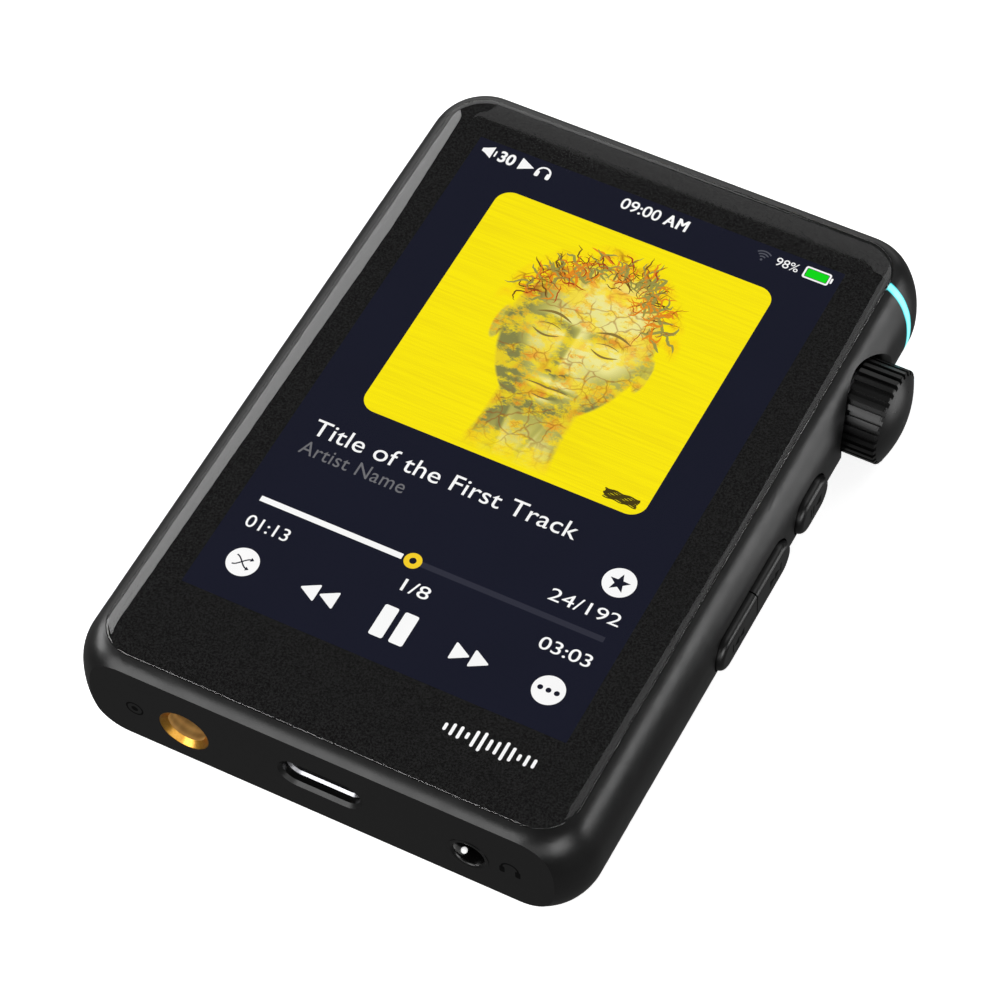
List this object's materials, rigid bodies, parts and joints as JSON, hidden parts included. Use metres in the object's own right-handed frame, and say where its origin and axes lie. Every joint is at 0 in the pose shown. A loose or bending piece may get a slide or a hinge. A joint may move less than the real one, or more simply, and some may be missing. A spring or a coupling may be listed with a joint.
{
  "type": "digital audio player",
  "caption": "Pocket music player with a glass touch screen, a ribbed volume knob and sprung keys on its right side, a light strip, and balanced, headphone and USB-C ports in its end.",
  "frame": {"origin": "centre of the housing's flat back", "axes": "+X towards the knob and keys, +Y towards the top end, +Z out of the screen"},
  "size_m": [0.0649, 0.0867, 0.0144],
  "materials": {
    "housing_black": "fine bead-blasted and black anodised, satin",
    "cap_black": "satin black paint matched to the housing",
    "light_strip": "milky translucent light guide, lit cyan",
    "cover_glass": "polished, black printed border underneath",
    "rear_panel": "frosted black",
    "adhesive": "matt foam tape",
    "display": "lit colour display",
    "backlight": "white film in a steel tray",
    "flex": "amber polyimide film",
    "board": "dark green solder mask",
    "shield_tin": "tinned steel",
    "chip_black": "moulded epoxy",
    "battery_pouch": "laminated foil pouch",
    "gold_plate": "gold-plated, turned and polished",
    "jack_black": "moulded",
    "collar_black": "polished black",
    "port_steel": "nickel-plated",
    "knob_black": "turned, ribbed and black anodised, satin",
    "key_black": "black anodised, satin",
    "steel": "machined",
    "brass": "machined"
  },
  "bodies": {
    "housing": {"antenna_cap": "cap_black", "antenna_flex": "flex", "audio_shield": "shield_tin", "balanced_jack_body": "jack_black", "balanced_jack_sleeve": "gold_plate", "battery": "battery_pouch", "battery_connector": "jack_black", "battery_pad": "adhesive", "board_screws": "steel", "cap_screws": "steel", "card_socket": "port_steel", "chips": "chip_black", "display_backlight": "backlight", "display_flex": "flex", "display_panel": "display", "encoder_body": "jack_black", "encoder_bush": "brass", "encoder_nut": "steel", "front_glass": "cover_glass", "glass_adhesive": "adhesive", "headphone_jack_body": "jack_black", "headphone_jack_collar": "collar_black", "key_board": "board", "key_switches": "port_steel", "light_board": "board", "light_strip": "light_strip", "main_board": "board", "main_housing": "housing_black", "processor_shield": "shield_tin", "rear_adhesive": "adhesive", "rear_cover": "rear_panel", "usb_c_shell": "port_steel", "usb_c_tongue": "jack_black"},
    "encoder_push": {"encoder_plunger": "jack_black"},
    "knob": {"volume_knob": "knob_black", "knob_shaft": "steel"},
    "play_key": {"play_key": "key_black"},
    "previous_key": {"previous_key": "key_black"},
    "next_key": {"next_key": "key_black"}
  },
  "joints": [
    {"name": "knob_push", "type": "slide", "parent": "housing", "child": "encoder_push", "axis": [-1, 0, 0], "range_m": [0, 0.0004], "stiffness_N_per_m": 7500},
    {"name": "knob_turn", "type": "hinge", "parent": "encoder_push", "child": "knob", "pos_m": [0.0289, 0.02595, 0.0069], "axis": [1, 0, 0], "continuous": true},
    {"name": "play_key_push", "type": "slide", "parent": "housing", "child": "play_key", "axis": [-1, 0, 0], "range_m": [0, 0.00035], "stiffness_N_per_m": 4500},
    {"name": "previous_key_push", "type": "slide", "parent": "housing", "child": "previous_key", "axis": [-1, 0, 0], "range_m": [0, 0.00035], "stiffness_N_per_m": 4500},
    {"name": "next_key_push", "type": "slide", "parent": "housing", "child": "next_key", "axis": [-1, 0, 0], "range_m": [0, 0.00035], "stiffness_N_per_m": 4500}
  ]
}
